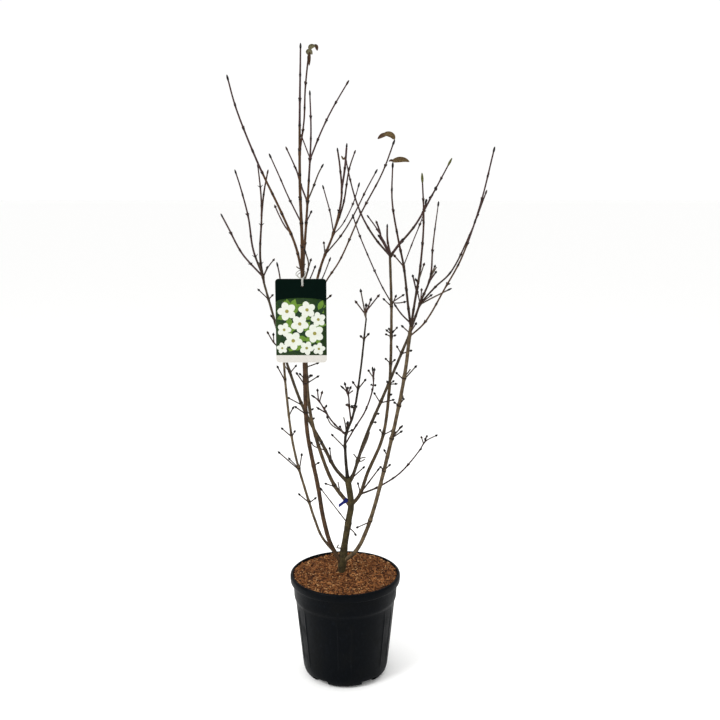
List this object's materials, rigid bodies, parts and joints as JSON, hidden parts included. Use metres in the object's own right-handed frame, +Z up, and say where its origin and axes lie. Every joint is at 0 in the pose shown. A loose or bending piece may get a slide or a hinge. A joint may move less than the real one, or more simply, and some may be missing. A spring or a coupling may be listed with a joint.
{
  "type": "kousa dogwood shrub in a nursery pot",
  "caption": "Bare winter kousa dogwood with slender rising stems and budded twigs, standing in a round black plastic nursery pot filled with bark mulch, with a picture card tied on.",
  "frame": {"origin": "middle of the pot's flat underside, on the ground", "axes": "+Z up along the pot's axis and the plant's height, -Y towards the side that the label card faces, +X to the right seen from there"},
  "size_m": [0.7876, 0.6324, 1.7653],
  "materials": {
    "pot": "satin",
    "soil": "matte",
    "mulch": "matte",
    "trunk_bark": "matte",
    "bough_bark": "matte",
    "twigs": "matte",
    "card": "satin",
    "tie": "satin",
    "marker": "satin"
  },
  "bodies": {
    "root": {"pot": "pot", "potting_soil": "soil", "bark_mulch": "mulch", "trunk": "trunk_bark", "stem_inner_left": "bough_bark", "stem_outer_left": "bough_bark", "stem_right": "bough_bark", "bough_low_left": "bough_bark", "bough_low_right": "bough_bark", "bough_high_left": "bough_bark", "bough_high_right": "bough_bark", "leader": "bough_bark", "twigs_outer_left": "twigs", "twigs_tall_left": "twigs", "twigs_upper_left": "twigs", "twigs_second_left": "twigs", "twigs_middle_back": "twigs", "twigs_middle_front": "twigs", "twigs_back_left": "twigs", "twigs_right_inner": "twigs", "twigs_right_top": "twigs", "twigs_right_low": "twigs", "twigs_right_star": "twigs", "twigs_right_front": "twigs", "twigs_right_upright": "twigs", "twigs_far_right": "twigs", "twigs_front_top": "twigs", "twigs_front_left": "twigs", "twigs_front_cluster": "twigs", "twigs_front_right": "twigs", "side_twigs_outer_left_1": "twigs", "side_twigs_outer_left_2": "twigs", "side_twigs_outer_left_3": "twigs", "side_twigs_outer_left_4": "twigs", "side_twigs_inner_left_1": "twigs", "side_twigs_inner_left_2": "twigs", "side_twigs_low_left_1": "twigs", "side_twigs_low_left_2": "twigs", "side_twigs_high_left_1": "twigs", "side_twigs_high_left_2": "twigs", "side_twigs_high_left_3": "twigs", "side_twigs_high_left_4": "twigs", "side_twigs_leader_1": "twigs", "side_twigs_leader_2": "twigs", "side_twigs_high_right_1": "twigs", "side_twigs_high_right_2": "twigs", "side_twigs_high_right_3": "twigs", "side_twigs_low_right_1": "twigs", "side_twigs_low_right_2": "twigs", "side_twigs_low_right_3": "twigs", "side_twigs_low_right_4": "twigs", "side_twigs_right_1": "twigs", "side_twigs_right_2": "twigs", "side_twigs_right_3": "twigs", "side_twigs_right_4": "twigs", "side_twigs_right_5": "twigs", "side_twigs_trunk": "twigs", "label_card": "card", "label_tie": "tie", "marker_tag": "marker"}
  },
  "joints": []
}
